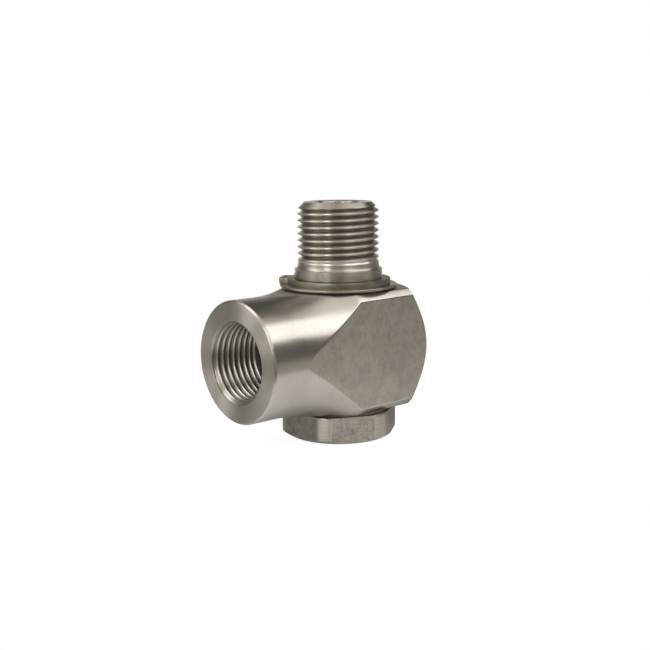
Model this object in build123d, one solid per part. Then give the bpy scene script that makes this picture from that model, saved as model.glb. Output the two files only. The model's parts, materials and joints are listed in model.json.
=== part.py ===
from build123d import *
import math
import os

# Hydraulic rotary union (90 degree swivel joint), millimetres.
# The spindle stands along +Z with the bottom of its hexagon head at Z = 0. The body swivels
# round it, with its threaded port facing -X. Pressure enters the port, fills the gallery
# round the spindle, and leaves up the spindle's bore.

# Spindle
journal_dia = 18.0
head_across_flats = 22.0
head_margin = 0.15          # how far the turned corners stay inside the body's flats
head_height = 5.6
head_face_dia = 21.0        # what the chamfer leaves of the bottom face
head_chamfer_angle = 30.0
head_turn = 33.0            # a corner of the hexagon, round from +X
collar_height = 1.95        # above the retaining ring's groove
shoulder_height = 0.67      # cone from the collar down to the thread
thread_dia = 16.662         # G3/8 male, over the crests
thread_length = 11.43
thread_end_chamfer = 1.4
bore_dia = 8.0
bore_mouth_chamfer = 0.3
bore_overrun = 1.5          # how far the bore passes below the cross holes' centres
cross_hole_dia = 4.5
cross_hole_count = 4
gallery_depth = 1.75        # radial depth of the groove that feeds the cross holes
drill_point_angle = 118.0

# Body
body_across_flats = 24.3
corner_dia = 32.5           # the square's corners are turned to this
hub_reach = 26.6            # spindle axis to the port's face
end_reach = 15.1            # spindle axis to the closed end
hub_step = 0.05             # the round hub is turned this much below the flats
sweep_reach = 20.2          # spindle axis to where the hub starts to widen
sweep_radius = 30.0         # concave sweep from the round hub out to the square's corners
hub_edge_chamfer = 0.4
end_chamfer = 5.6           # 45 degrees, turned on the closed end
passage_dia = 8.0
port_minor_dia = 14.95      # G3/8 female, over the crests
port_countersink_dia = 16.2
port_floor_wall = 3.0       # from the bush's seat out to the end of the tapping hole

# Bearings and seals
end_float = 0.05            # axial play, once under the body and once above it
lower_thrust_thickness = 0.5
upper_thrust_thickness = 0.3
thrust_bore_clearance = 0.25
thrust_land = 0.75          # how far a thrust washer reaches outside the bush's seat
bush_wall = 1.0
bush_clearance = 0.03       # radial, bush to journal
bush_edge = 0.3             # chamfer that leads the bush into its seat
bore_clearance = 0.05       # radial, body bore to journal
gallery_margin = 0.25       # gallery past the passage, each side
seal_land = 1.15            # gallery to seal groove
seal_groove_width = 2.2
seal_groove_depth = 2.45    # from the body's bore down to the groove's floor
slide_ring_thickness = 1.0
slide_ring_clearance = 0.02
slide_ring_side_play = 0.05
energizer_side_play = 0.1
lead_in_length = 0.5        # cone that eases the slide rings into the bore
lead_in_rise = 0.2
dust_ring_space = 1.05      # axial room between the bush and the thrust washer
dust_ring_clearance = 0.03
dust_ring_side_play = 0.03
flat_share = 0.5            # how much of a squeezed rubber ring's width lies flat on metal

# Washer and retaining ring
support_washer_margin = 0.1 # how far its edge stays inside the body's flats
support_washer_thickness = 0.5
support_washer_clearance = 0.05
ring_thickness = 1.2
ring_side_play = 0.05
ring_groove_depth = 0.5
ring_seat_clearance = 0.02
ring_back_width = 2.2       # radial width opposite the gap
ring_front_width = 1.6      # radial width beside the lugs
ring_turn = 108.0           # direction of the ring's gap, round from +X
ring_gap = 2.6
lug_reach = 3.7             # from the groove's floor to the lugs' tips
lug_angle = 33.0            # from the middle of the gap to the far side of a lug
lug_root_fillet = 1.2
lug_corner_fillet = 0.8
lug_hole_dia = 1.7
lug_hole_reach = 2.4        # from the groove's floor to the holes' centres
lug_hole_angle = 16.0

# Radii that the pieces share
journal_radius = journal_dia / 2
thread_radius = thread_dia / 2
half_body = body_across_flats / 2
hub_radius = half_body - hub_step
head_radius = half_body - head_margin
support_washer_radius = half_body - support_washer_margin
bore_radius = journal_radius + bore_clearance
seat_radius = journal_radius + bush_wall
seal_floor_radius = bore_radius - seal_groove_depth
slide_ring_outer = bore_radius - slide_ring_clearance
slide_ring_inner = slide_ring_outer - slide_ring_thickness
ring_floor_radius = journal_radius - ring_groove_depth
ring_inner = ring_floor_radius + ring_seat_clearance
lug_radius = ring_floor_radius + lug_reach
thrust_dia = 2 * (seat_radius + thrust_land)

# Heights along the spindle
lower_thrust_bottom = head_height + end_float
body_bottom = lower_thrust_bottom + lower_thrust_thickness
port_height = body_bottom + half_body
body_top = body_bottom + body_across_flats
support_washer_bottom = body_top + upper_thrust_thickness + end_float
ring_bottom = support_washer_bottom + support_washer_thickness
ring_groove_bottom = ring_bottom - ring_side_play
ring_groove_top = ring_bottom + ring_thickness + ring_side_play
collar_top = ring_groove_top + collar_height
thread_bottom = collar_top + shoulder_height
thread_top = thread_bottom + thread_length
spindle_top = thread_top + thread_end_chamfer

# Distances from the port's height, the same above and below it
gallery_half = passage_dia / 2 + gallery_margin
seal_inner = gallery_half + seal_land
seal_outer = seal_inner + seal_groove_width
seal_middle = (seal_inner + seal_outer) / 2
lead_in_start = seal_outer + slide_ring_side_play
seat_floor = lead_in_start + lead_in_length
bush_length = half_body - dust_ring_space - seat_floor


def turned(points):
    """Solid of revolution about Z from its (radius, height) outline."""
    outline = Polyline(*[(radius, 0, height) for radius, height in points], close=True)
    return revolve(make_face(outline), Axis.Z)


def flat_ring(inner_radius, outer_radius, bottom, thickness):
    """Flat washer that lies at the given height."""
    section = Circle(outer_radius) - Circle(inner_radius)
    return Pos(0, 0, bottom) * extrude(section, thickness)


def drill_point(radius):
    """Height of the cone that a twist drill leaves at the end of a hole."""
    return radius / math.tan(math.radians(drill_point_angle / 2))


def make_head():
    """Hexagon head with turned corners and a chamfered bottom edge."""
    hexagon = RegularPolygon(head_across_flats / 2, 6, major_radius=False)
    prism = extrude(Rot(0, 0, head_turn) * hexagon, head_height)
    face_radius = head_face_dia / 2
    rise = (head_radius - face_radius) * math.tan(math.radians(head_chamfer_angle))
    blank = turned([
        (0, 0),
        (face_radius, 0),
        (head_radius, rise),
        (head_radius, head_height),
        (0, head_height),
    ])
    return prism & blank


def make_shank():
    """Turned journal, grooves, collar and threaded end, above the head."""
    gallery_radius = journal_radius - gallery_depth
    grooves = []
    for start, end, floor in (
        (port_height - seal_outer, port_height - seal_inner, seal_floor_radius),
        (port_height - gallery_half, port_height + gallery_half, gallery_radius),
        (port_height + seal_inner, port_height + seal_outer, seal_floor_radius),
        (ring_groove_bottom, ring_groove_top, ring_floor_radius),
    ):
        grooves += [(journal_radius, start), (floor, start), (floor, end), (journal_radius, end)]
    return turned([
        (0, head_height),
        (journal_radius, head_height),
        *grooves,
        (journal_radius, collar_top),
        (thread_radius, thread_bottom),
        (thread_radius, thread_top),
        (thread_radius - thread_end_chamfer, spindle_top),
        (0, spindle_top),
    ])


def make_spindle():
    """Head and shank, with the blind bore and the cross holes that feed it."""
    bore_bottom = port_height - cross_hole_dia / 2 - bore_overrun
    bore = turned([
        (0, bore_bottom - drill_point(bore_dia / 2)),
        (bore_dia / 2, bore_bottom),
        (bore_dia / 2, spindle_top - bore_mouth_chamfer),
        (bore_dia / 2 + bore_mouth_chamfer, spindle_top),
        (0, spindle_top),
    ])
    spindle = make_head() + make_shank() - bore
    for index in range(cross_hole_count):
        angle = head_turn + 360 / cross_hole_count * index
        hole = extrude(Plane.YZ * Circle(cross_hole_dia / 2), journal_radius)
        spindle -= Pos(0, 0, port_height) * Rot(0, 0, angle) * hole
    return spindle


def make_body_blank():
    """Turned profile of hub, sweep and closed end, cut to the square bar."""
    corner_radius = corner_dia / 2
    rise = corner_radius - hub_radius
    run = math.sqrt(2 * sweep_radius * rise - rise ** 2)
    half_turn = math.asin(run / sweep_radius) / 2
    middle_x = -sweep_reach + sweep_radius * math.sin(half_turn)
    middle_radius = hub_radius + sweep_radius * (1 - math.cos(half_turn))
    before = Polyline(
        (end_reach - end_chamfer, corner_radius),
        (end_reach, corner_radius - end_chamfer),
        (end_reach, 0),
        (-hub_reach, 0),
        (-hub_reach, hub_radius - hub_edge_chamfer),
        (-hub_reach + hub_edge_chamfer, hub_radius),
        (-sweep_reach, hub_radius),
    )
    sweep = ThreePointArc(
        (-sweep_reach, hub_radius),
        (middle_x, middle_radius),
        (-sweep_reach + run, corner_radius),
    )
    after = Line((-sweep_reach + run, corner_radius), (end_reach - end_chamfer, corner_radius))
    profile = Plane.XZ * make_face(before + sweep + after)
    bar = Pos((end_reach - hub_reach) / 2, 0, 0) * Box(
        hub_reach + end_reach, body_across_flats, body_across_flats
    )
    return revolve(profile, Axis.X) & bar


def make_spindle_bore():
    """Body bore with a bush seat at each end, about the port's height."""
    half = [
        (bore_radius, lead_in_start),
        (bore_radius + lead_in_rise, seat_floor),
        (seat_radius, seat_floor),
        (seat_radius, half_body),
    ]
    mirrored = [(radius, -height) for radius, height in reversed(half)]
    return turned([(0, -half_body), *mirrored, *half, (0, half_body)])


def make_port():
    """Tapping hole, countersink and passage, along +Z from the port's face."""
    minor_radius = port_minor_dia / 2
    passage_radius = passage_dia / 2
    sink_radius = port_countersink_dia / 2
    depth = hub_reach - seat_radius - port_floor_wall
    return turned([
        (0, 0),
        (sink_radius, 0),
        (minor_radius, sink_radius - minor_radius),
        (minor_radius, depth),
        (passage_radius, depth + drill_point(minor_radius) - drill_point(passage_radius)),
        (passage_radius, hub_reach),
        (0, hub_reach),
    ])


def make_housing():
    """Body of the union, placed at the port's height."""
    port = Pos(-hub_reach, 0, 0) * Rot(0, 90, 0) * make_port()
    return Pos(0, 0, port_height) * (make_body_blank() - make_spindle_bore() - port)


def make_bush():
    """Plain bearing bush that stands on Z = 0, with its leading end downwards."""
    inner = journal_radius + bush_clearance
    return turned([
        (inner, 0),
        (seat_radius - bush_edge, 0),
        (seat_radius, bush_edge),
        (seat_radius, bush_length),
        (inner, bush_length),
    ])


def make_slide_ring():
    """Low-friction seal ring about Z = 0, which rubs on the body's bore."""
    width = seal_groove_width - 2 * slide_ring_side_play
    return flat_ring(slide_ring_inner, slide_ring_outer, -width / 2, width)


def make_rubber_ring(inner, outer, half_width):
    """Rubber ring about Z = 0, pressed flat where it meets metal and bulging at its sides."""
    middle = (inner + outer) / 2
    half_flat = half_width * flat_share
    return turned([
        (inner, -half_flat),
        (middle, -half_width),
        (outer, -half_flat),
        (outer, half_flat),
        (middle, half_width),
        (inner, half_flat),
    ])


def make_energizer():
    """Rubber ring squeezed between the groove's floor and the slide ring."""
    half_width = seal_groove_width / 2 - energizer_side_play
    return make_rubber_ring(seal_floor_radius, slide_ring_inner, half_width)


def make_dust_ring():
    """Rubber ring that closes the bush's seat round the journal."""
    half_width = dust_ring_space / 2 - dust_ring_side_play
    return make_rubber_ring(journal_radius + dust_ring_clearance, seat_radius, half_width)


def make_thrust_washer(bottom, thickness):
    """Low-friction washer between the body and the spindle's head or washer."""
    return flat_ring(journal_radius + thrust_bore_clearance, thrust_dia / 2, bottom, thickness)


def make_support_washer():
    """Steel washer that carries the upper thrust washer against the retaining ring."""
    inner = journal_radius + support_washer_clearance
    return flat_ring(inner, support_washer_radius, support_washer_bottom, support_washer_thickness)


def at_radius(vertices, radius):
    """Vertices that lie at one distance from the origin."""
    return [v for v in vertices if abs(math.hypot(v.X, v.Y) - radius) < 1e-4]


def make_retaining_ring():
    """External circlip, with tapering arms, two lugs and their pliers holes."""
    back_radius = ring_inner + ring_back_width
    front_radius = ring_inner + ring_front_width
    offset = (back_radius - front_radius) / 2
    arms = Pos(-offset, 0) * Circle((back_radius + front_radius) / 2)
    spread = lug_radius * math.tan(math.radians(lug_angle))
    wedge = make_face(Polyline((0, 0), (lug_radius, -spread), (lug_radius, spread), close=True))
    lug_blank = Circle(lug_radius) & wedge
    outer = arms + lug_blank
    root = math.radians(lug_angle)
    reach = -offset * math.cos(root) + math.sqrt(
        ((back_radius + front_radius) / 2) ** 2 - (offset * math.sin(root)) ** 2
    )
    outer = fillet(at_radius(outer.vertices(), reach), lug_root_fillet)
    slot = Pos(lug_radius / 2, 0) * Rectangle(lug_radius, ring_gap)
    plan = outer - Circle(ring_inner) - slot
    plan = fillet(at_radius(plan.vertices(), lug_radius), lug_corner_fillet)
    for side in (-1, 1):
        holes = PolarLocations(ring_floor_radius + lug_hole_reach, 1, side * lug_hole_angle)
        plan -= holes * Circle(lug_hole_dia / 2)
    return Pos(0, 0, ring_bottom) * Rot(0, 0, ring_turn) * extrude(plan, ring_thickness)


def make_pieces():
    """Every piece of the union, by name."""
    pieces = {
        "housing": make_housing(),
        "spindle": make_spindle(),
        "lower_thrust_washer": make_thrust_washer(lower_thrust_bottom, lower_thrust_thickness),
        "upper_thrust_washer": make_thrust_washer(body_top, upper_thrust_thickness),
        "support_washer": make_support_washer(),
        "retaining_ring": make_retaining_ring(),
    }
    dust_ring_middle = half_body - dust_ring_space / 2
    for end, turn in (("lower", 180), ("upper", 0)):
        place = Pos(0, 0, port_height) * Rot(turn, 0, 0)
        pieces[end + "_bearing_bush"] = place * Pos(0, 0, seat_floor) * make_bush()
        pieces[end + "_slide_ring"] = place * Pos(0, 0, seal_middle) * make_slide_ring()
        pieces[end + "_seal_energizer"] = place * Pos(0, 0, seal_middle) * make_energizer()
        pieces[end + "_dust_ring"] = place * Pos(0, 0, dust_ring_middle) * make_dust_ring()
    return pieces


os.makedirs("parts", exist_ok=True)
for name, solid in make_pieces().items():
    export_step(solid, "parts/" + name + ".step")
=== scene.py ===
import json
import math

import bmesh
import bpy
from mathutils import Matrix, Vector


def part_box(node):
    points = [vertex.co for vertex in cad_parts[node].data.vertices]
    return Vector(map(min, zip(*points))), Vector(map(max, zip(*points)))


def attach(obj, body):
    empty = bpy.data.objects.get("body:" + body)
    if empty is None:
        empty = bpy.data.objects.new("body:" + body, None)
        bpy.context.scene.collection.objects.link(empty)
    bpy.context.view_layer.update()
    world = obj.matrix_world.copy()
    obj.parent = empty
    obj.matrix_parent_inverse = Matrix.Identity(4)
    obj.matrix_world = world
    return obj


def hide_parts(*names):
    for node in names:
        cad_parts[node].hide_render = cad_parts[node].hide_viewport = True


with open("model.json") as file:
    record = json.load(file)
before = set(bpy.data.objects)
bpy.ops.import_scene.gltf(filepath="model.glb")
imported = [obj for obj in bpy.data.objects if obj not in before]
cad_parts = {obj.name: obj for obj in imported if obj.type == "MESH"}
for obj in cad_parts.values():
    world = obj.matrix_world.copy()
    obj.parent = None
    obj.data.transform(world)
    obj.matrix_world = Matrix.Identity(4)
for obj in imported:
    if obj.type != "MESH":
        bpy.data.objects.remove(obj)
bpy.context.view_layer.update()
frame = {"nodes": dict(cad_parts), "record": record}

# Hydraulic rotary union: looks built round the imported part, in metres.
# The spindle stands along +Z, and the body's threaded port faces -X.

mm = 0.001
weld_distance = 0.001 * mm
sliver = weld_distance / 10      # faces thinner than this are dropped

# Places that the frame gives
body_low, body_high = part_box("housing")
spindle_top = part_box("spindle")[1].z
mounts = {mount["name"]: mount for mount in frame["record"]["mounts"]}
port_height = (body_low.z + body_high.z) / 2
half_body = (body_high.y - body_low.y) / 2
hub_reach = -body_low.x
end_reach = body_high.x
male_crest_radius = mounts["spindle_thread"]["dims"]["r_mm"] * mm
female_crest_radius = mounts["port_thread"]["dims"]["r_mm"] * mm
tapped_length = mounts["port_thread"]["dims"]["length_mm"] * mm
bore_radius = mounts["spindle_bore"]["dims"]["r_mm"] * mm
bore_length = mounts["spindle_bore"]["dims"]["length_mm"] * mm
bore_bottom = mounts["spindle_bore"]["pos_m"][2] - bore_length / 2
port_axis, port_centre = (1, 0, 0), (0, 0, port_height)
spindle_axis, spindle_foot = (0, 0, 1), (0, 0, 0)

# Threads, both G3/8
thread_pitch = 1.337 * mm
thread_depth = 0.856 * mm
sharp_depth_share = 1.1          # height of the V before its crest and root are rounded, in pitches
thread_rounding = 0.36 * mm
thread_rows = 14                 # rows of faces to one pitch
male_thread_bottom = 35.75 * mm
male_run_out = 1.3 * mm
male_end_radius = 6.93 * mm
male_crest_height = 45.6 * mm    # where one crest lies at male_crest_angle
male_crest_angle = 138.8
female_thread_depth = 10.6 * mm
female_run_out = 1.0 * mm
female_end_radius = 8.1 * mm
female_root_angle = 215.0        # where the thread's groove runs out of the port's face
drill_slope = math.tan(math.radians(31))   # of the cone that a drill leaves

# Body
body_flats = 4
body_first_flat = 0.0            # degrees
hub_step = 0.05 * mm             # the hub is turned this much below the flats
corner_radius = 16.25 * mm
sweep_reach = 20.2 * mm
sweep_radius = 30.0 * mm
hub_edge_chamfer = 0.4 * mm
end_chamfer = 5.6 * mm
passage_radius = 4.0 * mm
passage_end = 2.0 * mm           # from the spindle's axis, inside the bore
body_bore_radius = 9.05 * mm
lead_in_length = 0.5 * mm        # cone that eases the slide rings into the bore
lead_in_rise = 0.2 * mm
bush_seat_radius = 10.0 * mm
bush_seat_floor = 8.15 * mm      # above and below the port's axis
overshoot = 1.0 * mm             # how far a cutter reaches past what it cuts
body_columns = 128
curve_rows = 24                  # on the end's cone and on the sweep
strip_row_gap = 2.0 * mm
strip_rows = 3
hub_foot_rows = (0.6, 0.3)       # where the sweep meets the hub, as shares of that stretch
mouth_row = 0.6 * mm             # faces round the port's mouth
face_row = 2.0 * mm              # faces at the edge of the port's face

# Spindle
head_height = 5.6 * mm
head_flats = 6
head_half_width = 11.0 * mm
head_radius = 12.0 * mm
head_face_radius = 10.5 * mm
head_chamfer_slope = math.tan(math.radians(30))
head_first_flat = 3.0            # degrees from +X to the middle of one flat
journal_radius = 9.0 * mm
collar_top = 34.45 * mm
flare_top = 35.45 * mm
bore_mouth_chamfer = 0.3 * mm
cross_hole_radius = 2.25 * mm
cross_hole_turns = (33.0, 123.0)
seal_floor_radius = 6.6 * mm
seal_groove = (5.4 * mm, 7.6 * mm)
gallery_radius = 7.25 * mm
gallery_half = 4.25 * mm
drill_reach = 1.02 * gallery_radius + overshoot
ring_floor_radius = 8.5 * mm
ring_side_play = 0.05 * mm
stem_columns = 120
cross_hole_columns = 48
flare_rows = 6
collar_row = 0.2 * mm            # faces under the flare
shoulder_row = 0.5 * mm          # faces on the head's shoulder, inside its flats
head_face_rows = (0.5, 0.6)      # shares of the head's flat face
head_chamfer_rows = 10
head_side_rows = (0.3, 0.5, 0.7, 0.9)   # shares of the head's height

# Washers
support_washer_clearance = 0.05 * mm
thrust_bore_clearance = 0.25 * mm

# Edges
edge_softness = 0.14 * mm        # how much the milled edges are broken
edge_turn = 0.012                # radians, the step between the rows of vertices at a milled edge
edge_rows = (-2, -1, -0.5, 0, 0.5, 1, 2)
narrow_flat_steps = 6            # the step is shorter where half a flat is less than this many
flat_rows = (0, 0.35, 0.7)       # shares of the way from a flat's middle to its edge
turned_edge = 0.1 * mm           # radius on the turned edges
head_top_edge = 0.3 * turned_edge   # how far the middle of its arc stays inside the corner
stamped_edge = 0.15 * mm
washer_edge = 0.06 * mm
rolled_edge = 0.24 * mm          # on the support washer
arc_steps = 3                    # faces on a rounded edge
arc_share = 0.45                 # the most that an arc takes of the sides it joins
arc_least_turn = math.radians(12)
rim_least_turn = math.radians(60)   # of a stamped edge that is broken
rim_facing = 0.9                 # least share of its flat face's normal that looks up or down
rim_segments = 2
flat_angle = math.radians(1)     # faces that turn less are one
smooth_angle = math.radians(32)

# How a face's finish is told from where it lies and where it looks
flat_facing = 0.9998             # least share of a body flat's normal that looks to its side
flat_tolerance = 0.02 * mm
head_flat_lean = 0.02            # most of a head flat's normal that looks up or down
head_flat_turn = 1.0             # degrees that it may look past its side
head_flat_depth = 0.2 * mm       # how far inside the flat it may lie
port_facing = 0.9                # least share of the port face's normal that looks out
port_chamfer_facing = 0.5
port_chamfer_depth = 1.0 * mm
port_thread_start = 0.99         # of its crest's radius
stem_thread_reach = 1.2          # from its crest, in depths of the thread


# ---------------------------------------------------------------- node helpers

def feed(tree, socket, value):
    """Gives a socket a number, a vector, or another node's output."""
    if isinstance(value, bpy.types.NodeSocket):
        tree.links.new(value, socket)
    else:
        socket.default_value = value


def calc(tree, operation, *values):
    """Output of a Math node."""
    node = tree.nodes.new("ShaderNodeMath")
    node.operation = operation
    for socket, value in zip(node.inputs, values):
        feed(tree, socket, value)
    return node.outputs[0]


def vector_calc(tree, operation, *values):
    """Output of a Vector Math node; a dot product and a length are its second output."""
    node = tree.nodes.new("ShaderNodeVectorMath")
    node.operation = operation
    for socket, value in zip(node.inputs, values):
        feed(tree, socket, value)
    return node.outputs[1 if operation in ("DOT_PRODUCT", "LENGTH") else 0]


def split(tree, vector):
    """The x, y and z of a vector."""
    node = tree.nodes.new("ShaderNodeSeparateXYZ")
    tree.links.new(vector, node.inputs[0])
    return node.outputs


def join(tree, x, y, z):
    """A vector from its x, y and z."""
    node = tree.nodes.new("ShaderNodeCombineXYZ")
    for socket, value in zip(node.inputs, (x, y, z)):
        feed(tree, socket, value)
    return node.outputs[0]


# ---------------------------------------------------------------- pipe thread

thread_inputs = {
    "Pitch": "NodeSocketFloat",
    "Crest Radius": "NodeSocketFloat",
    "Root Radius": "NodeSocketFloat",
    "Low End": "NodeSocketFloat",
    "High End": "NodeSocketFloat",
    "High End Radius": "NodeSocketFloat",
    "Run-out": "NodeSocketFloat",
    "Rounding": "NodeSocketFloat",
    "Start": "NodeSocketFloat",
    "Side": "NodeSocketFloat",
    "Columns": "NodeSocketInt",
    "Rows per Pitch": "NodeSocketInt",
    "Material": "NodeSocketMaterial",
}


def thread_tree():
    """Right-handed thread about Z. Side is 1 for a male thread and -1 for a female one.

    It runs out at the low end, and at the high end a 45 degree cone cuts it back."""
    tree = bpy.data.node_groups.new("pipe_thread", "GeometryNodeTree")
    for name, kind in thread_inputs.items():
        tree.interface.new_socket(name, in_out="INPUT", socket_type=kind)
    tree.interface.new_socket("Geometry", in_out="OUTPUT", socket_type="NodeSocketGeometry")
    given = tree.nodes.new("NodeGroupInput").outputs
    pitch, side = given["Pitch"], given["Side"]
    low, high = given["Low End"], given["High End"]

    # Grid that climbs by one pitch in each turn
    turns = calc(tree, "ADD", calc(tree, "DIVIDE", calc(tree, "SUBTRACT", high, low), pitch), 1.0)
    rows = calc(tree, "CEIL", calc(tree, "MULTIPLY", turns, given["Rows per Pitch"]))
    grid = tree.nodes.new("GeometryNodeMeshGrid")
    grid.inputs["Size X"].default_value = 1.0
    grid.inputs["Size Y"].default_value = 1.0
    feed(tree, grid.inputs["Vertices X"], calc(tree, "ADD", given["Columns"], 1.0))
    feed(tree, grid.inputs["Vertices Y"], calc(tree, "ADD", rows, 1.0))

    place = split(tree, tree.nodes.new("GeometryNodeInputPosition").outputs[0])
    turn = calc(tree, "ADD", place["X"], 0.5)
    row = calc(tree, "MULTIPLY", calc(tree, "ADD", place["Y"], 0.5), rows)
    travel = calc(tree, "DIVIDE", row, given["Rows per Pitch"])
    climb = calc(tree, "SUBTRACT", calc(tree, "ADD", travel, turn), 1.0)
    height = calc(tree, "MULTIPLY_ADD", climb, pitch, low)
    height = calc(tree, "MINIMUM", calc(tree, "MAXIMUM", height, low), high)

    # V of the thread, rounded at its crest and its root
    phase = calc(tree, "SUBTRACT", calc(tree, "DIVIDE", height, pitch), turn)
    phase = calc(tree, "FRACT", calc(tree, "ADD", phase, given["Start"]))
    ridge = calc(tree, "SUBTRACT", 0.5, calc(tree, "ABSOLUTE", calc(tree, "MULTIPLY_ADD", phase, 2.0, -1.0)))
    middle = calc(tree, "MULTIPLY", calc(tree, "ADD", given["Crest Radius"], given["Root Radius"]), 0.5)
    crest = calc(tree, "MULTIPLY", side, given["Crest Radius"])
    root = calc(tree, "MULTIPLY", side, given["Root Radius"])
    reach = calc(tree, "MULTIPLY", calc(tree, "MULTIPLY", pitch, sharp_depth_share), ridge)
    reach = calc(tree, "MULTIPLY_ADD", side, middle, reach)
    reach = calc(tree, "SMOOTH_MIN", reach, crest, given["Rounding"])
    reach = calc(tree, "SMOOTH_MAX", reach, root, given["Rounding"])

    # Run-out at the low end and cone at the high one
    grown = tree.nodes.new("ShaderNodeMapRange")
    grown.interpolation_type = "SMOOTHSTEP"
    feed(tree, grown.inputs["Value"], calc(tree, "SUBTRACT", height, low))
    feed(tree, grown.inputs["From Max"], given["Run-out"])
    cut = calc(tree, "MULTIPLY", calc(tree, "SUBTRACT", reach, crest), grown.outputs[0])
    reach = calc(tree, "ADD", crest, cut)
    cone = calc(tree, "MULTIPLY_ADD", side, given["High End Radius"], calc(tree, "SUBTRACT", high, height))
    radius = calc(tree, "MULTIPLY", side, calc(tree, "MINIMUM", reach, cone))

    # Wrapped round the axis
    angle = calc(tree, "MULTIPLY", turn, 2 * math.pi)
    x = calc(tree, "MULTIPLY", radius, calc(tree, "COSINE", angle))
    y = calc(tree, "MULTIPLY", radius, calc(tree, "SINE", angle))
    wrap = tree.nodes.new("GeometryNodeSetPosition")
    tree.links.new(grid.outputs["Mesh"], wrap.inputs["Geometry"])
    tree.links.new(join(tree, x, y, height), wrap.inputs["Position"])
    merge = tree.nodes.new("GeometryNodeMergeByDistance")
    merge.inputs["Distance"].default_value = weld_distance
    real = tree.nodes.new("GeometryNodeRealizeInstances")
    paint = tree.nodes.new("GeometryNodeSetMaterial")
    result = tree.nodes.new("NodeGroupOutput")
    tree.links.new(wrap.outputs[0], merge.inputs[0])
    tree.links.new(merge.outputs[0], real.inputs[0])
    tree.links.new(real.outputs[0], paint.inputs["Geometry"])
    tree.links.new(given["Material"], paint.inputs["Material"])
    tree.links.new(paint.outputs[0], result.inputs[0])
    return tree


def thread_shell(tree, given):
    """The open shell of one thread, as a bmesh about Z, from the tree's inputs by name."""
    holder = bpy.data.objects.new("thread_holder", bpy.data.meshes.new("thread_holder"))
    bpy.context.scene.collection.objects.link(holder)
    modifier = holder.modifiers.new("thread", "NODES")
    modifier.node_group = tree
    for item in tree.interface.items_tree:
        if item.in_out == "INPUT":
            modifier[item.identifier] = given[item.name]
    shown = holder.evaluated_get(bpy.context.evaluated_depsgraph_get())
    made = bpy.data.meshes.new_from_object(shown)
    shell = bmesh.new()
    shell.from_mesh(made)
    bpy.data.meshes.remove(made)
    bpy.data.objects.remove(holder)
    return shell


# ---------------------------------------------------------------- turned shapes

def turned_loop(shell, height):
    """The open edge of a turned shell at one height, in order of angle."""
    rim = {v for e in shell.edges if e.is_boundary for v in e.verts if abs(v.co.z - height) < weld_distance}
    return sorted(rim, key=lambda v: math.atan2(v.co.y, v.co.x) % (2 * math.pi))


def ring_of(shell, radius, height, angles):
    """New vertices round Z at the given angles."""
    return [shell.verts.new((radius * math.cos(a), radius * math.sin(a), height)) for a in angles]


def even_angles(columns):
    """Evenly spaced angles of a whole turn."""
    return [2 * math.pi * i / columns for i in range(columns)]


def close_end(shell, loop, height):
    """Closes a loop with a fan to a point on the axis."""
    tip = shell.verts.new((0, 0, height))
    for i, corner in enumerate(loop):
        shell.faces.new((loop[i - 1], corner, tip))


def carry_on(shell, loop, profile):
    """Continues a turned shell from a loop through the (radius, height) points; radius 0 closes it."""
    angles = [math.atan2(v.co.y, v.co.x) for v in loop]
    for radius, height in profile:
        if radius == 0:
            close_end(shell, loop, height)
            return
        ring = ring_of(shell, radius, height, angles)
        for i, corner in enumerate(ring):
            shell.faces.new((loop[i - 1], loop[i], corner, ring[i - 1]))
        loop = ring


def soften(profile, radius):
    """Replaces each corner of a (radius, height) outline by a small arc."""
    points = [Vector(p) for p in profile]
    made = [points[0]]
    for before, corner, after in zip(points, points[1:], points[2:]):
        back, ahead = before - corner, after - corner
        reach = min(radius, back.length * arc_share, ahead.length * arc_share)
        turn = math.pi - back.angle(ahead)
        if turn < arc_least_turn or reach < weld_distance:
            made.append(corner)
            continue
        start, end = corner + back.normalized() * reach, corner + ahead.normalized() * reach
        for i in range(arc_steps + 1):
            t = i / arc_steps
            made.append(start * (1 - t) ** 2 + corner * 2 * t * (1 - t) + end * t ** 2)
    made.append(points[-1])
    return [tuple(p) for p in made]


def lathe(profile, columns):
    """Closed turned solid about Z from an outline that starts and ends on the axis."""
    shell = bmesh.new()
    loop = ring_of(shell, *profile[1], even_angles(columns))
    close_end(shell, loop, profile[0][1])
    carry_on(shell, loop, profile[2:])
    bmesh.ops.recalc_face_normals(shell, faces=shell.faces)
    return shell


def washer(inner, outer, bottom, top, columns, edge):
    """Flat ring with softened edges."""
    middle = (bottom + top) / 2
    outline = [(inner, middle), (inner, bottom), (outer, bottom), (outer, top), (inner, top), (inner, middle)]
    outline = soften(outline, edge)
    shell = bmesh.new()
    rings = [ring_of(shell, *point, even_angles(columns)) for point in outline[:-1]]
    for k, ring in enumerate(rings):
        for i in range(columns):
            shell.faces.new((rings[k - 1][i - 1], rings[k - 1][i], ring[i], ring[i - 1]))
    bmesh.ops.recalc_face_normals(shell, faces=shell.faces)
    return shell


# ---------------------------------------------------------------- turned bar with milled flats

def sector_angles(half_turn, sector, columns):
    """Angles from one flat's middle to the next, with rows close to both milled edges.

    half_turn is how far the flat reaches each side of its middle. Where it is 0 the flat's
    angles fall together, and the turned ones are evenly spaced."""
    near = min(edge_turn, half_turn / narrow_flat_steps)
    edge = [half_turn + near * k for k in edge_rows]
    flat = [edge[0] * share for share in flat_rows]
    start, end = edge[-1], sector - edge[-1]
    turned = [start + (end - start) * i / columns for i in range(1, columns)]
    return flat + edge + turned + [sector - a for a in reversed(flat[1:] + edge)]


def soft_min(a, b, softness):
    """Smaller of two lengths, eased over where they meet."""
    if softness <= 0:
        return min(a, b)
    ease = max(softness - abs(a - b), 0) / softness
    return min(a, b) - ease ** 2 * softness / 4


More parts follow.
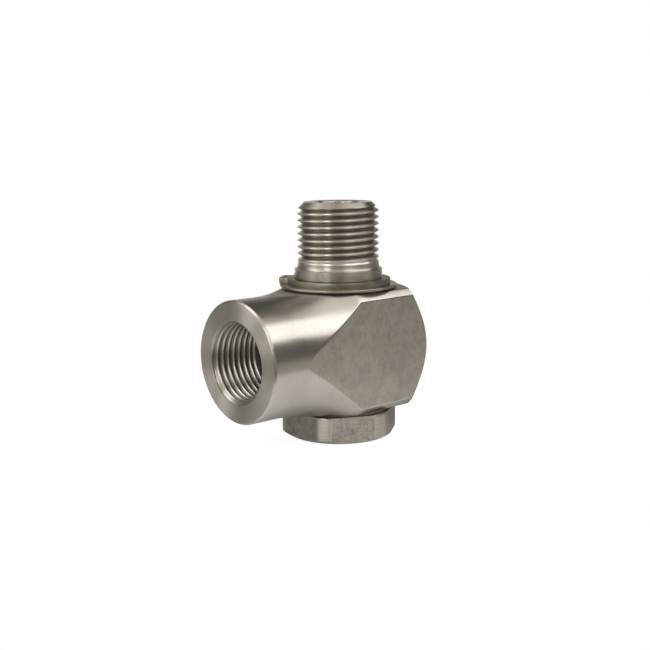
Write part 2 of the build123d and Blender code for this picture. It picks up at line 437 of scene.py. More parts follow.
def flatted_bar(shell, profile, flats, half_width, first_flat, columns):
    """Turned (radius, height) outline about Z, cut by evenly spaced flats and closed at its start."""
    sector = 2 * math.pi / flats
    rows = []
    for radius, height in profile:
        half_turn = math.acos(min(1, half_width / radius))
        softness = min(edge_softness, max(0, radius - half_width) / 2)
        row = []
        for k in range(flats):
            for a in sector_angles(half_turn, sector, columns // flats):
                off = min(a, sector - a)
                reach = soft_min(radius, half_width / math.cos(off), softness)
                angle = math.radians(first_flat) + k * sector + a
                row.append(shell.verts.new((reach * math.cos(angle), reach * math.sin(angle), height)))
        for i in range(len(row)):
            if rows:
                shell.faces.new((rows[-1][i - 1], rows[-1][i], row[i], row[i - 1]))
        rows.append(row)
    close_end(shell, rows[0], profile[0][1])


# ---------------------------------------------------------------- finished meshes

def weld(shell):
    """Joins coincident vertices, drops what they flatten, and turns every face outwards."""
    bmesh.ops.remove_doubles(shell, verts=shell.verts, dist=weld_distance)
    bmesh.ops.dissolve_degenerate(shell, edges=shell.edges, dist=sliver)
    bmesh.ops.recalc_face_normals(shell, faces=shell.faces)


def object_from(name, shell, place=Matrix()):
    """New object from a bmesh, with the place applied to its mesh."""
    shell.transform(place)
    mesh = bpy.data.meshes.new(name)
    shell.to_mesh(mesh)
    shell.free()
    piece = bpy.data.objects.new(name, mesh)
    bpy.context.scene.collection.objects.link(piece)
    return piece


def cut_away(piece, cutters):
    """Subtracts solids from a piece, for good."""
    for cutter in cutters:
        modifier = piece.modifiers.new("cut", "BOOLEAN")
        modifier.operation = "DIFFERENCE"
        modifier.solver = "MANIFOLD"
        modifier.object = cutter
    shown = piece.evaluated_get(bpy.context.evaluated_depsgraph_get())
    mesh = bpy.data.meshes.new_from_object(shown)
    piece.modifiers.clear()
    old, piece.data = piece.data, mesh
    bpy.data.meshes.remove(old)
    mesh.name = piece.name
    for cutter in cutters:
        bpy.data.objects.remove(cutter)


def dress(piece, node, finishes, finish_of=None):
    """Finishes a piece, sets it in a node's place, and says which slot it takes its finish from."""
    mesh = piece.data
    mesh.materials.clear()
    for finish in finishes:
        mesh.materials.append(finish)
    for face in mesh.polygons:
        face.material_index = finishes.index(finish_of(face)) if finish_of else 0
    mesh.shade_smooth()
    mesh.set_sharp_from_angle(angle=smooth_angle)
    body = next(name for name, nodes in frame["record"]["behaviour"]["bodies"].items() if node in nodes)
    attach(piece, body)
    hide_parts(node)


# ---------------------------------------------------------------- finishes

# Patterns: sizes in millimetres, depths in metres. A contrast is the span of noise that makes the step.
ring_spacing = 0.22              # fine rings on turned steel
band_width = 1.6                 # broader bands of the same rings
turned_cloud_size = 6.0
ring_share = 0.55                # of turned steel's tone; the clouds have the rest
turned_contrast = (0.3, 0.7)
turning_depth = 0.0014 * mm      # of the fine rings
band_roughness = 0.10            # how much the roughness follows the bands
turned_cloud_roughness = 0.06
painted_hollow_shade = 0.42              # how dark the painted shade in a thread's hollow goes
painted_crest_light_reach = 0.2          # how far a crest's lighter tone reaches into the thread before the painted shade of the hollow begins

milled_cloud_size = 3.6
grain_share = 0.4                # of milled steel's tone; the clouds have the rest
milled_contrast = (0.36, 0.64)
stain_size = 1.5
stain_offset = (17, 5, 9)        # sets the stains apart from the clouds
stain_contrast = (0.56, 0.72)
stain_strength, stain_shade = 0.45, 0.8
pit_size = 0.55
pit_contrast = (0.68, 0.74)
pit_strength, pit_shade = 0.5, 0.45
pit_height = -0.8                # against the grain's 1
fine_grain_size = 0.12
coarse_share = 0.7               # of the grain's depth; the fine grain has the rest

mottle_share = 0.5               # of a plain finish's tone; the clouds have the rest
mottle_cloud = 9                 # mottles to one cloud
mottle_contrast = (0.35, 0.65)
mottle_depth = 0.002 * mm
cloud_roughness = 0.2            # how much the roughness of milled and plain finishes follows the clouds


def surface(name, roughness, metallic=1.0, **sockets):
    """New material; constants sit on the shader's own sockets. Returns it, its tree and its shader."""
    material = bpy.data.materials.new(name)
    material.use_nodes = True
    shader = material.node_tree.nodes["Principled BSDF"]
    shader.inputs["Metallic"].default_value = metallic
    shader.inputs["Roughness"].default_value = roughness
    for socket, value in sockets.items():
        shader.inputs[socket.replace("_", " ")].default_value = value
    return material, material.node_tree, shader


def object_place(tree, centre=(0, 0, 0)):
    """Place on the object, measured from a centre, in millimetres."""
    place = tree.nodes.new("ShaderNodeTexCoord").outputs["Object"]
    place = vector_calc(tree, "SUBTRACT", place, centre)
    return vector_calc(tree, "MULTIPLY", place, (1 / mm, 1 / mm, 1 / mm))


def turned_with_piece(tree, way):
    """A direction on the piece, as it lies in the room when the piece has swivelled."""
    node = tree.nodes.new("ShaderNodeVectorTransform")
    node.vector_type = "VECTOR"
    node.convert_from, node.convert_to = "OBJECT", "WORLD"
    tree.links.new(way, node.inputs[0])
    return node.outputs[0]


def noise(tree, place, size, detail=3.0, roughness=0.5, stretch=(1, 1, 1)):
    """Noise from about 0 to 1, in blobs of one size in millimetres; a stretch under 1 lengthens them."""
    node = tree.nodes.new("ShaderNodeTexNoise")
    node.inputs["Scale"].default_value = 1 / size
    node.inputs["Detail"].default_value = detail
    node.inputs["Roughness"].default_value = roughness
    tree.links.new(vector_calc(tree, "MULTIPLY", place, stretch), node.inputs["Vector"])
    return node.outputs["Fac"]


def noise_along(tree, value, size, detail):
    """Noise that follows one length, in millimetres."""
    node = tree.nodes.new("ShaderNodeTexNoise")
    node.noise_dimensions = "1D"
    node.inputs["Scale"].default_value = 1 / size
    node.inputs["Detail"].default_value = detail
    tree.links.new(value, node.inputs["W"])
    return node.outputs["Fac"]


def spread(tree, value, low, high, to_low=0.0, to_high=1.0):
    """Maps a value from one range to another, held at its ends."""
    node = tree.nodes.new("ShaderNodeMapRange")
    for socket, number in zip(node.inputs[1:5], (low, high, to_low, to_high)):
        socket.default_value = number
    feed(tree, node.inputs[0], value)
    return node.outputs[0]


def weigh(tree, a, a_share, b, b_share):
    """Sum of two values, each taken by its own share."""
    return calc(tree, "MULTIPLY_ADD", a, a_share, calc(tree, "MULTIPLY", b, b_share))


def scaled(colour, factor):
    """A colour made darker or brighter by a factor."""
    return tuple(factor * c for c in colour)


def blend(tree, factor, a, b):
    """Colour between two colours."""
    node = tree.nodes.new("ShaderNodeMix")
    node.data_type = "RGBA"
    feed(tree, node.inputs["Factor"], factor)
    for socket, value in ((node.inputs[6], a), (node.inputs[7], b)):
        feed(tree, socket, value if isinstance(value, bpy.types.NodeSocket) else (*value, 1.0))
    return node.outputs[2]


def roughen(tree, shader, cloud, roughness):
    """Roughness that goes up and down with the clouds, round one value."""
    varied = calc(tree, "MULTIPLY_ADD", cloud, cloud_roughness, roughness - cloud_roughness / 2)
    tree.links.new(varied, shader.inputs["Roughness"])


def emboss(tree, shader, height, depth):
    """Bump from a height between 0 and 1, this many metres deep."""
    node = tree.nodes.new("ShaderNodeBump")
    node.inputs["Strength"].default_value = 1.0
    node.inputs["Distance"].default_value = depth
    tree.links.new(height, node.inputs["Height"])
    tree.links.new(node.outputs[0], shader.inputs["Normal"])


def turned_steel(name, axis, centre, light, dark, roughness, sheen_stretch, hollow=None):
    """Lathe-turned steel: fine rings round the axis, and gloss drawn out across them.

    A thread has its hollow, the radii in millimetres between which it goes darker: painted shade in the
    hollow."""
    material, tree, shader = surface(name, roughness, Anisotropic=sheen_stretch)
    place = object_place(tree, centre)
    along = vector_calc(tree, "DOT_PRODUCT", place, axis)
    off_axis = vector_calc(tree, "MULTIPLY", place, tuple(1 - abs(c) for c in axis))
    out = vector_calc(tree, "LENGTH", off_axis)
    round_about = turned_with_piece(tree, vector_calc(tree, "CROSS_PRODUCT", axis, off_axis))
    normal = tree.nodes.new("ShaderNodeNewGeometry").outputs["Normal"]
    tree.links.new(vector_calc(tree, "CROSS_PRODUCT", round_about, normal), shader.inputs["Tangent"])

    outline = calc(tree, "ADD", along, out)
    marks = noise_along(tree, outline, size=ring_spacing, detail=4.0)
    bands = noise_along(tree, outline, size=band_width, detail=2.0)
    cloud = noise(tree, place, size=turned_cloud_size, detail=4.0, roughness=0.6)
    tone = weigh(tree, marks, ring_share, cloud, 1 - ring_share)
    colour = blend(tree, spread(tree, tone, *turned_contrast), dark, light)
    # painted shade: the thread goes darker from its crest towards its root
    if hollow:
        colour = blend(tree, spread(tree, out, *hollow), colour, scaled(dark, painted_hollow_shade))
    tree.links.new(colour, shader.inputs["Base Color"])
    varied = weigh(tree, bands, band_roughness, cloud, turned_cloud_roughness)
    least = roughness - (band_roughness + turned_cloud_roughness) / 2
    feed(tree, shader.inputs["Roughness"], calc(tree, "ADD", varied, least))
    emboss(tree, shader, marks, turning_depth)
    return material


def milled_steel(name, light, dark, roughness, grain_depth, stretch, grit):
    """Drawn or milled flat: grain of one grit and stretch, cloudy tone, stains and a few pits."""
    material, tree, shader = surface(name, roughness)
    place = object_place(tree)
    cloud = noise(tree, place, size=milled_cloud_size, detail=6.0, roughness=0.68)
    elsewhere = vector_calc(tree, "ADD", place, stain_offset)
    stain = noise(tree, elsewhere, size=stain_size, detail=4.0, roughness=0.6)
    grain = noise(tree, place, size=grit, detail=5.0, roughness=0.7, stretch=stretch)
    fine = noise(tree, place, size=fine_grain_size, detail=2.0)
    pits = spread(tree, noise(tree, place, size=pit_size, detail=1.0), *pit_contrast)
    tone = weigh(tree, grain, grain_share, cloud, 1 - grain_share)
    colour = blend(tree, spread(tree, tone, *milled_contrast), dark, light)
    stained = calc(tree, "MULTIPLY", spread(tree, stain, *stain_contrast), stain_strength)
    colour = blend(tree, stained, colour, scaled(dark, stain_shade))
    pitted = calc(tree, "MULTIPLY", pits, pit_strength)
    colour = blend(tree, pitted, colour, scaled(dark, pit_shade))
    tree.links.new(colour, shader.inputs["Base Color"])
    roughen(tree, shader, cloud, roughness)
    height = weigh(tree, grain, coarse_share, fine, 1 - coarse_share)
    height = calc(tree, "MULTIPLY_ADD", pits, pit_height, height)
    emboss(tree, shader, height, grain_depth)
    return material


def speckled(name, light, dark, roughness, metallic=0.0, mottle=0.2):
    """Plain finish with a fine mottle, for pressed steel, bronze, polymer and rubber."""
    material, tree, shader = surface(name, roughness, metallic)
    place = object_place(tree)
    fine = noise(tree, place, size=mottle, detail=4.0, roughness=0.6)
    cloud = noise(tree, place, size=mottle * mottle_cloud)
    tone = weigh(tree, fine, mottle_share, cloud, 1 - mottle_share)
    colour = blend(tree, spread(tree, tone, *mottle_contrast), dark, light)
    tree.links.new(colour, shader.inputs["Base Color"])
    roughen(tree, shader, cloud, roughness)
    emboss(tree, shader, fine, mottle_depth)
    return material


crest, root = male_crest_radius / mm, (male_crest_radius - thread_depth) / mm
body_light, body_dark = (0.53, 0.502, 0.462), (0.41, 0.385, 0.348)
stem_light, stem_dark = (0.52, 0.485, 0.43), (0.36, 0.333, 0.29)

body_turned = turned_steel(
    "body_turned_steel", port_axis, port_centre,
    light=body_light, dark=body_dark, roughness=0.3, sheen_stretch=0.8)
port_faced = turned_steel(
    "port_faced_steel", port_axis, port_centre,
    light=body_light, dark=body_dark, roughness=0.42, sheen_stretch=0.94)
# the body's steel in lighter tones on its thread, a painted sheen on the crests, with painted shade in the
# hollows
port_thread = turned_steel(
    "port_thread_steel", port_axis, port_centre,
    light=(0.66, 0.625, 0.57), dark=body_light, roughness=0.3, sheen_stretch=0.8,
    hollow=(root + painted_crest_light_reach, crest))
body_milled = milled_steel(
    "body_milled_steel",
    light=(0.51, 0.475, 0.425), dark=(0.34, 0.313, 0.277), roughness=0.44,
    grain_depth=0.008 * mm, stretch=(1, 1, 0.35), grit=0.28)
stem_turned = turned_steel(
    "spindle_turned_steel", spindle_axis, spindle_foot,
    light=stem_light, dark=stem_dark, roughness=0.34, sheen_stretch=0.85)
# the spindle's steel in lighter tones on its thread, a painted sheen on the crests, with painted shade in the
# hollows
stem_thread = turned_steel(
    "spindle_thread_steel", spindle_axis, spindle_foot,
    light=(0.70, 0.655, 0.585), dark=stem_light, roughness=0.32, sheen_stretch=0.8,
    hollow=(crest - painted_crest_light_reach, root))
head_milled = milled_steel(
    "head_milled_steel",
    light=(0.52, 0.487, 0.43), dark=(0.20, 0.186, 0.163), roughness=0.46,
    grain_depth=0.02 * mm, stretch=(1, 1, 1), grit=0.4)
washer_finish = turned_steel(
    "support_washer_steel", spindle_axis, spindle_foot,
    light=(0.44, 0.41, 0.35), dark=(0.31, 0.29, 0.24), roughness=0.38, sheen_stretch=0.6)
ring_finish = speckled(
    "retaining_ring_steel",
    light=(0.33, 0.315, 0.265), dark=(0.22, 0.21, 0.17), roughness=0.4, metallic=1.0, mottle=0.3)
bush_finish = speckled(
    "bush_bronze",
    light=(0.55, 0.36, 0.20), dark=(0.42, 0.26, 0.14), roughness=0.42, metallic=1.0, mottle=0.15)
thrust_finish = speckled(
    "thrust_washer_polymer", light=(0.20, 0.19, 0.165), dark=(0.13, 0.124, 0.107), roughness=0.6)
slide_finish = speckled(
    "slide_ring_polymer", light=(0.24, 0.155, 0.09), dark=(0.16, 0.10, 0.06), roughness=0.45)
rubber_finish = speckled(
    "seal_rubber", light=(0.025, 0.025, 0.025), dark=(0.015, 0.015, 0.015), roughness=0.5)


# ---------------------------------------------------------------- body

def body_outline():
    """(radius, height) from the closed end to the port's face; height runs from the spindle's axis to -X."""
    hub_radius = half_body - hub_step
    rise = corner_radius - hub_radius
    run = math.sqrt(2 * sweep_radius * rise - rise ** 2)
    meet = math.sqrt(2 * sweep_radius * hub_step - hub_step ** 2)
    end_radius = corner_radius - end_chamfer

    end = soften([
        (end_radius / 2, -end_reach),
        (end_radius, -end_reach),
        (half_body, -end_reach + half_body - end_radius),
    ], 2 * turned_edge)
    cone = [half_body + (corner_radius - half_body) * (i / curve_rows) ** 2 for i in range(1, curve_rows + 1)]
    end += [(radius, -end_reach + radius - end_radius) for radius in cone]
    strip = [(corner_radius, sweep_reach - run - strip_row_gap * i) for i in range(strip_rows, 0, -1)]
    aways = [meet + (run - meet) * (i / curve_rows) ** 2 for i in range(curve_rows, -1, -1)]
    aways += [meet * share for share in hub_foot_rows]
    sweep = [(hub_radius + sweep_radius - math.sqrt(sweep_radius ** 2 - away ** 2), sweep_reach - away)
             for away in aways]
    hub = soften([
        (hub_radius, sweep_reach),
        (hub_radius, hub_reach - hub_edge_chamfer),
        (hub_radius - hub_edge_chamfer, hub_reach),
        (hub_radius - face_row, hub_reach),
    ], turned_edge)
    return end + strip + sweep + hub


def make_body(tree):
    """Square bar turned to a hub and a sweep, with its tapped port and its bore for the spindle."""
    shell = thread_shell(tree, {
        "Pitch": thread_pitch,
        "Crest Radius": female_crest_radius,
        "Root Radius": female_crest_radius + thread_depth,
        "Low End": hub_reach - female_thread_depth,
        "High End": hub_reach,
        "High End Radius": female_end_radius,
        "Run-out": female_run_out,
        "Rounding": thread_rounding,
        "Start": -hub_reach / thread_pitch + female_root_angle / 360,
        "Side": -1.0,
        "Columns": body_columns,
        "Rows per Pitch": thread_rows,
        "Material": body_turned,
    })
    outline = body_outline()
    face_radius = outline[-1][0]
    mouth = turned_loop(shell, hub_reach)
    tail = turned_loop(shell, hub_reach - female_thread_depth)
    carry_on(shell, mouth, [(female_end_radius + mouth_row, hub_reach), (face_radius, hub_reach)])
    drilled = tapped_length + female_end_radius - female_crest_radius
    cone = (female_crest_radius - passage_radius) * drill_slope
    carry_on(shell, tail, [
        (female_crest_radius, hub_reach - drilled),
        (passage_radius, hub_reach - drilled - cone),
        (passage_radius, passage_end),
        (0, passage_end),
    ])
    flatted_bar(shell, outline, body_flats, half_body, body_first_flat, body_columns)
    weld(shell)
    # Z, up so far, becomes -X at the port's height
    lay_down = Matrix(((0, 0, -1, 0), (0, 1, 0, 0), (1, 0, 0, port_height), (0, 0, 0, 1)))
    body = object_from("union_body", shell, lay_down)

    half = [
        (body_bore_radius, 0),
        (body_bore_radius, bush_seat_floor - lead_in_length),
        (body_bore_radius + lead_in_rise, bush_seat_floor),
        (bush_seat_radius, bush_seat_floor),
        (bush_seat_radius, half_body + overshoot),
        (0, half_body + overshoot),
    ]
    below = [(radius, -height) for radius, height in reversed(half[1:])]
    bore = lathe(below + half, body_columns)
    cut_away(body, [object_from("bore_cutter", bore, Matrix.Translation(port_centre))])

    def finish_of(face):
        n, c = face.normal, face.center
        across = max(abs(n.y), abs(n.z))
        off = max(abs(c.y), abs(c.z - port_height))
        out = math.hypot(c.y, c.z - port_height)
        if across > flat_facing and abs(off - half_body) < flat_tolerance:
            return body_milled
        if n.x < -port_facing:
            return port_faced
        if n.x < -port_chamfer_facing and c.x < port_chamfer_depth - hub_reach:
            return body_turned
        in_port = -hub_reach < c.x < female_thread_depth - hub_reach
        on_thread = female_crest_radius * port_thread_start < out < female_end_radius + thread_depth
        return port_thread if in_port and on_thread else body_turned

    dress(body, "housing", [body_turned, body_milled, port_faced, port_thread], finish_of)


# ---------------------------------------------------------------- spindle

def groove(low, high, floor_radius):
    """(radius, height) of a square groove in the journal, from its top down."""
    return [(journal_radius, high), (floor_radius, high), (floor_radius, low), (journal_radius, low)]


def stem_outline():
    """(radius, height) from under the male thread down to the head's shoulder."""
    turns = [math.pi / 2 * i / flare_rows for i in range(flare_rows, -1, -1)]
    flare = [(journal_radius - (journal_radius - male_crest_radius) * math.sin(turn),
              collar_top + (flare_top - collar_top) * (1 - math.cos(turn))) for turn in turns]
    ring_low, ring_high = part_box("retaining_ring")
    near, far = seal_groove
    journal = soften([
        (journal_radius, collar_top - collar_row),
        *groove(ring_low.z - ring_side_play, ring_high.z + ring_side_play, ring_floor_radius),
        *groove(port_height + near, port_height + far, seal_floor_radius),
        *groove(port_height - gallery_half, port_height + gallery_half, gallery_radius),
        *groove(port_height - far, port_height - near, seal_floor_radius),
        (journal_radius, head_height),
    ], turned_edge)
    return flare + journal + [(head_half_width - shoulder_row, head_height)]


def head_outline():
    """(radius, height) of the hexagon head, from its bottom face up to its shoulder."""
    inner, outer = (head_face_radius * share for share in head_face_rows)
    outline = [(inner, 0)] + soften([
        (outer, 0),
        (head_face_radius, 0),
        (head_half_width, (head_half_width - head_face_radius) * head_chamfer_slope),
    ], turned_edge)
    for i in range(1, head_chamfer_rows + 1):
        radius = head_half_width + (head_radius - head_half_width) * (i / head_chamfer_rows) ** 2
        outline.append((radius, (radius - head_face_radius) * head_chamfer_slope))
    outline += [(head_radius, head_height * share) for share in head_side_rows]
    return outline + [
        (head_radius, head_height - turned_edge),
        (head_radius - head_top_edge, head_height - head_top_edge),
        (head_radius - turned_edge, head_height),
        (head_half_width - shoulder_row, head_height),
    ]


def cross_hole_cutter(turn):
    """Drill across the spindle at the port's height."""
    half = [(cross_hole_radius, drill_reach), (0, drill_reach)]
    below = [(radius, -height) for radius, height in reversed(half)]
    lie_down = Matrix.Rotation(math.radians(turn), 4, "Z") @ Matrix.Rotation(math.pi / 2, 4, "Y")
    drill = lathe(below + half, cross_hole_columns)
    return object_from("cross_hole_cutter", drill, Matrix.Translation(port_centre) @ lie_down)


def make_stem(tree):
    """Hexagon head, journal with its grooves, collar, male thread and bore, in one piece of steel."""
    shell = thread_shell(tree, {
        "Pitch": thread_pitch,
        "Crest Radius": male_crest_radius,
        "Root Radius": male_crest_radius - thread_depth,
        "Low End": male_thread_bottom,
        "High End": spindle_top,
        "High End Radius": male_end_radius,
        "Run-out": male_run_out,
        "Rounding": thread_rounding,
        "Start": 0.5 - male_crest_height / thread_pitch + male_crest_angle / 360,
        "Side": 1.0,
        "Columns": stem_columns,
        "Rows per Pitch": thread_rows,
        "Material": stem_turned,
    })
    upper = soften([
        (male_end_radius, spindle_top),
        (bore_radius + bore_mouth_chamfer, spindle_top),
        (bore_radius, spindle_top - bore_mouth_chamfer),
        (bore_radius, bore_bottom),
        (0, bore_bottom - bore_radius * drill_slope),
    ], turned_edge)
    carry_on(shell, turned_loop(shell, spindle_top), upper[1:])
    carry_on(shell, turned_loop(shell, male_thread_bottom), stem_outline())
    flatted_bar(shell, head_outline(), head_flats, head_half_width, head_first_flat, stem_columns)
    weld(shell)
    stem = object_from("union_spindle", shell)
    cut_away(stem, [cross_hole_cutter(turn) for turn in cross_hole_turns])

    def finish_of(face):
        n, c = face.normal, face.center
        out = c.xy.length
        flat_turn = 360 / head_flats
        turn = math.degrees(math.atan2(n.y, n.x)) - head_first_flat
        off_flat = abs((turn + flat_turn / 2) % flat_turn - flat_turn / 2)
        looks_out = abs(n.z) < head_flat_lean and off_flat < head_flat_turn
        if c.z < head_height and looks_out and out > head_half_width - head_flat_depth:
            return head_milled
        under_cone = out < male_end_radius + spindle_top - c.z - flat_tolerance
        on_thread = c.z > male_thread_bottom and out > male_crest_radius - stem_thread_reach * thread_depth
        return stem_thread if on_thread and under_cone else stem_turned

    dress(stem, "spindle", [stem_turned, head_milled, stem_thread], finish_of)


# ---------------------------------------------------------------- rings and washers

def softened_copy(name, node, edge):
    """Copy of a stamped CAD piece with its edges broken."""
    shell = bmesh.new()
    shell.from_mesh(frame["nodes"][node].data)
    bmesh.ops.remove_doubles(shell, verts=shell.verts, dist=weld_distance)
    bmesh.ops.dissolve_limit(shell, angle_limit=flat_angle, verts=shell.verts, edges=shell.edges)
    rims = [e for e in shell.edges if len(e.link_faces) == 2 and e.calc_face_angle() > rim_least_turn
            and max(abs(f.normal.z) for f in e.link_faces) > rim_facing]
    bmesh.ops.bevel(shell, geom=rims, offset=edge, segments=rim_segments, affect="EDGES", profile=0.5,
                    clamp_overlap=True)
    bmesh.ops.triangulate(shell, faces=[f for f in shell.faces if len(f.verts) > 4])
    bmesh.ops.recalc_face_normals(shell, faces=shell.faces)
    return object_from(name, shell)


def make_rings():
    """Retaining ring, its support washer and the two thrust washers."""
    ring = softened_copy("snap_ring", "retaining_ring", stamped_edge)
    dress(ring, "retaining_ring", [ring_finish])
    low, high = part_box("support_washer")
    inner = journal_radius + support_washer_clearance
    shell = washer(inner, high.x, low.z, high.z, stem_columns, rolled_edge)
    dress(object_from("carrier_washer", shell), "support_washer", [washer_finish])
    for end in ("upper", "lower"):
        low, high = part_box(end + "_thrust_washer")
        inner = journal_radius + thrust_bore_clearance
        shell = washer(inner, high.x, low.z, high.z, stem_columns, washer_edge)
        disc = object_from(end + "_thrust_disc", shell)
        dress(disc, end + "_thrust_washer", [thrust_finish])


def finish_inner_pieces():
    """Bushes, slide rings and rubber rings keep their CAD shape and get their finish."""
    finishes = {
        "bearing_bush": bush_finish,
        "slide_ring": slide_finish,
        "seal_energizer": rubber_finish,
        "dust_ring": rubber_finish,
    }
    for end in ("lower", "upper"):
        for kind, finish in finishes.items():
            materials = frame["nodes"][end + "_" + kind].data.materials
            materials.clear()
            materials.append(finish)


threads = thread_tree()
make_body(threads)
make_stem(threads)
make_rings()
finish_inner_pieces()


# ---------------------------------------------------------------- studio

floor_disc_radius = 60 * mm
floor_columns = 96
floor_gap = 0.02 * mm            # under the head
floor_glow = 0.87                # of the floor that the camera sees
floor_shadow_tone = 0.32         # its grey under the lamps, which shows the shadow
mirrored_glow = 0.25             # how much of the seen floor metal and glass show
floor_tones_with_painted_shadow = (0.9, 0.13)        # greys of the floor that throws light on the union and that metal shows, before and behind it; the dark grey behind is a painted shadow
painted_shadow_way = (70, 0)             # the way the painted shadow falls, as azimuth and elevation
painted_shadow_span = (-14, 0)       # where it does, in millimetres from the spindle
room_tone = 0.40                 # between the patches
room_warmth = (1.09, 1.045, 0.96)   # the room is a little warmer than the lamps and the floor
# azimuth from +X and elevation in degrees, half-angle of the patch, its soft edge
mirrored_white = (58, -16, 12, 20)  # where metal and glass show the white backdrop
# the same, and brightness
room_patches = [
    (58, -10, 20, 28, 0.45),
    (160, 0, 22, 20, 0.55),
    (97, 12, 14, 18, 0.20),
    (131, -12, 6, 12, 0.42),
    (164, -18, 8, 12, 0.80),
    (-10, 5, 20, 20, 0.24),
    (-55, 12, 16, 18, 0.12),
    (-50, -17, 14, 8, 0.56),
    (-131, 0, 12, 14, 0.26),
    (-103, 2, 7, 12, 0.75),
    (-170, -9, 6, 9, 0.16),
    (-172, 16, 8, 10, 1.20),
    (-122, -12, 4, 7, 0.06),
    (-108, -12, 4, 7, 0.06),
    (-94, -12, 4, 7, 0.06),
    (27, 50, 21, 19, 0.06),
    (-17, 51, 5, 8, 0.65),
    (-131, 62, 18, 16, 0.90),
    (-110, 80, 9, 10, 0.75),
    (-55, 72, 10, 10, 1.20),
    (160, 72, 9, 9, 1.00),
    (114, 49, 7, 9, 1.00),
]
# azimuth and elevation in degrees, width, height and distance in metres, brightness
softboxes = {
    "key_softbox": (-62, 46.5, 1.15, 0.40, 0.8, 2.1),
    "side_softbox": (149, 38, 0.36, 0.62, 0.8, 2.2),
    "strip_softbox": (-164, 27, 0.16, 0.50, 0.8, 3.6),
}
camera_azimuth = -41.245         # degrees round from -Y
camera_elevation = 9.753
camera_roll = 0.540
camera_shift = Vector((2.864, -4.166, -221.200)) * mm   # where it sees the crossing of the two axes
camera_lens = 58.91
camera_sensor = 36
camera_clip_start = 10 * mm


def direction(azimuth, elevation):
    """Unit vector from two angles in degrees; azimuth 0 is +X."""
    a, e = math.radians(azimuth), math.radians(elevation)
    return Vector((math.cos(a) * math.cos(e), math.sin(a) * math.cos(e), math.sin(e)))


def seen_rays(tree, background=1.0):
    """1 for rays that show the background: the camera's own, and those that metal and glass send on."""
    path = tree.nodes.new("ShaderNodeLightPath").outputs
    mirrored = calc(tree, "MAXIMUM", path["Is Glossy Ray"], path["Is Transmission Ray"])
    return calc(tree, "MAXIMUM", path["Is Camera Ray"], calc(tree, "MULTIPLY", mirrored, background))


def make_floor():
    """Round pale floor; where it lights the union and where metal shows it, a painted shadow darkens it
    behind the union.
    """
    shell = bmesh.new()
    bmesh.ops.create_circle(shell, cap_ends=True, segments=floor_columns, radius=floor_disc_radius)
    floor = object_from("studio_floor", shell, Matrix.Translation((0, 0, -floor_gap)))
    material = bpy.data.materials.new("pale_floor")
    material.use_nodes = True
    tree = material.node_tree
    tree.nodes.clear()
    plain = tree.nodes.new("ShaderNodeBsdfDiffuse")
    # painted shadow: the floor that lights the union and that metal mirrors goes dark behind it
    behind = vector_calc(tree, "DOT_PRODUCT", object_place(tree), direction(*painted_shadow_way))
    tone = spread(tree, behind, *painted_shadow_span, *floor_tones_with_painted_shadow)
    tree.links.new(tone, plain.inputs["Color"])
    soft = tree.nodes.new("ShaderNodeBsdfDiffuse")
    soft.inputs["Color"].default_value = (floor_shadow_tone, floor_shadow_tone, floor_shadow_tone, 1)
    glow = tree.nodes.new("ShaderNodeEmission")
    glow.inputs["Strength"].default_value = floor_glow
    shown = tree.nodes.new("ShaderNodeAddShader")
    mix = tree.nodes.new("ShaderNodeMixShader")
    tree.links.new(soft.outputs[0], shown.inputs[0])
    tree.links.new(glow.outputs[0], shown.inputs[1])
    tree.links.new(seen_rays(tree, mirrored_glow), mix.inputs[0])
    tree.links.new(plain.outputs[0], mix.inputs[1])
    tree.links.new(shown.outputs[0], mix.inputs[2])
    tree.links.new(mix.outputs[0], tree.nodes.new("ShaderNodeOutputMaterial").inputs[0])
    floor.data.materials.append(material)


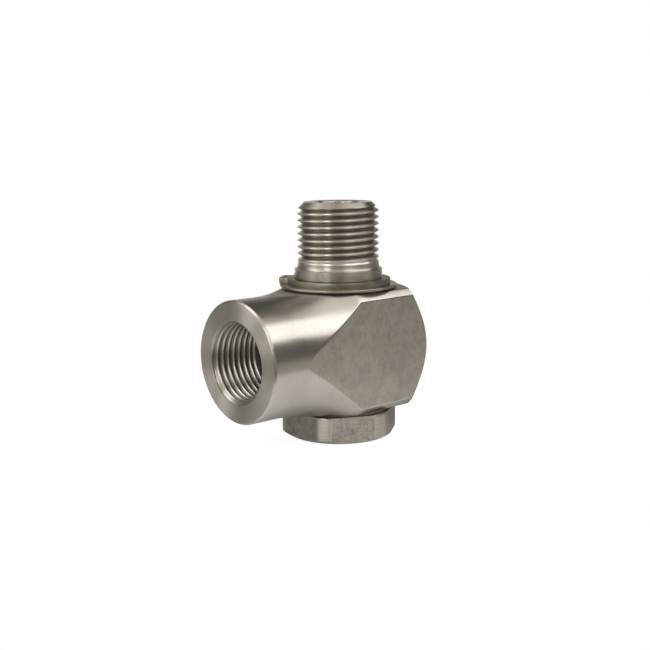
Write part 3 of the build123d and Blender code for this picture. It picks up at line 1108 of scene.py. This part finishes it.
def make_world():
    """Room of soft grey patches; the camera sees plain white, and so do mirrored rays on one side."""
    world = bpy.data.worlds.new("studio")
    bpy.context.scene.world = world
    world.use_nodes = True
    tree = world.node_tree
    tree.nodes.clear()
    look = tree.nodes.new("ShaderNodeTexCoord").outputs["Generated"]

    def patch(azimuth, elevation, half_angle, edge):
        near = vector_calc(tree, "DOT_PRODUCT", look, direction(azimuth, elevation))
        node = tree.nodes.new("ShaderNodeMapRange")
        node.interpolation_type = "SMOOTHSTEP"
        feed(tree, node.inputs["Value"], near)
        node.inputs["From Min"].default_value = math.cos(math.radians(half_angle + edge))
        node.inputs["From Max"].default_value = math.cos(math.radians(half_angle))
        return node.outputs[0]

    tone = scaled(room_warmth, room_tone)
    for *place, brightness in room_patches:
        tone = blend(tree, patch(*place), tone, scaled(room_warmth, brightness))
    room = tree.nodes.new("ShaderNodeBackground")
    tree.links.new(tone, room.inputs["Color"])
    white = tree.nodes.new("ShaderNodeBackground")
    white.inputs["Color"].default_value = (1, 1, 1, 1)
    mix = tree.nodes.new("ShaderNodeMixShader")
    tree.links.new(seen_rays(tree, patch(*mirrored_white)), mix.inputs[0])
    tree.links.new(room.outputs[0], mix.inputs[1])
    tree.links.new(white.outputs[0], mix.inputs[2])
    tree.links.new(mix.outputs[0], tree.nodes.new("ShaderNodeOutputWorld").inputs[0])


def make_lamps():
    """Rectangular softboxes that face the union."""
    for name, (azimuth, elevation, width, height, distance, brightness) in softboxes.items():
        lamp = bpy.data.lights.new(name, "AREA")
        lamp.shape = "RECTANGLE"
        lamp.size, lamp.size_y = width, height
        lamp.energy = brightness * math.pi * width * height
        holder = bpy.data.objects.new(name, lamp)
        bpy.context.scene.collection.objects.link(holder)
        away = direction(azimuth, elevation)
        holder.location = Vector(port_centre) + away * distance
        holder.rotation_euler = away.to_track_quat("Z", "Y").to_euler()


def make_camera():
    """Camera that looks past the crossing of the spindle's and the port's axes."""
    a, e, r = (math.radians(v) for v in (camera_azimuth, camera_elevation, camera_roll))
    back = Vector((math.sin(a) * math.cos(e), -math.cos(a) * math.cos(e), math.sin(e)))
    right = Vector((math.cos(a), math.sin(a), 0))
    up = back.cross(right)
    rows = (right * math.cos(r) - up * math.sin(r), right * math.sin(r) + up * math.cos(r), back)
    turn = Matrix(rows).transposed()
    camera = bpy.data.objects.new("camera", bpy.data.cameras.new("camera"))
    bpy.context.scene.collection.objects.link(camera)
    camera.data.lens = camera_lens
    camera.data.sensor_width = camera_sensor
    camera.data.clip_start = camera_clip_start
    stand = Vector(port_centre) - turn @ camera_shift
    camera.matrix_world = Matrix.Translation(stand) @ turn.to_4x4()
    bpy.context.scene.camera = camera


make_floor()
make_world()
make_lamps()
make_camera()
bpy.context.scene.view_settings.view_transform = "Standard"
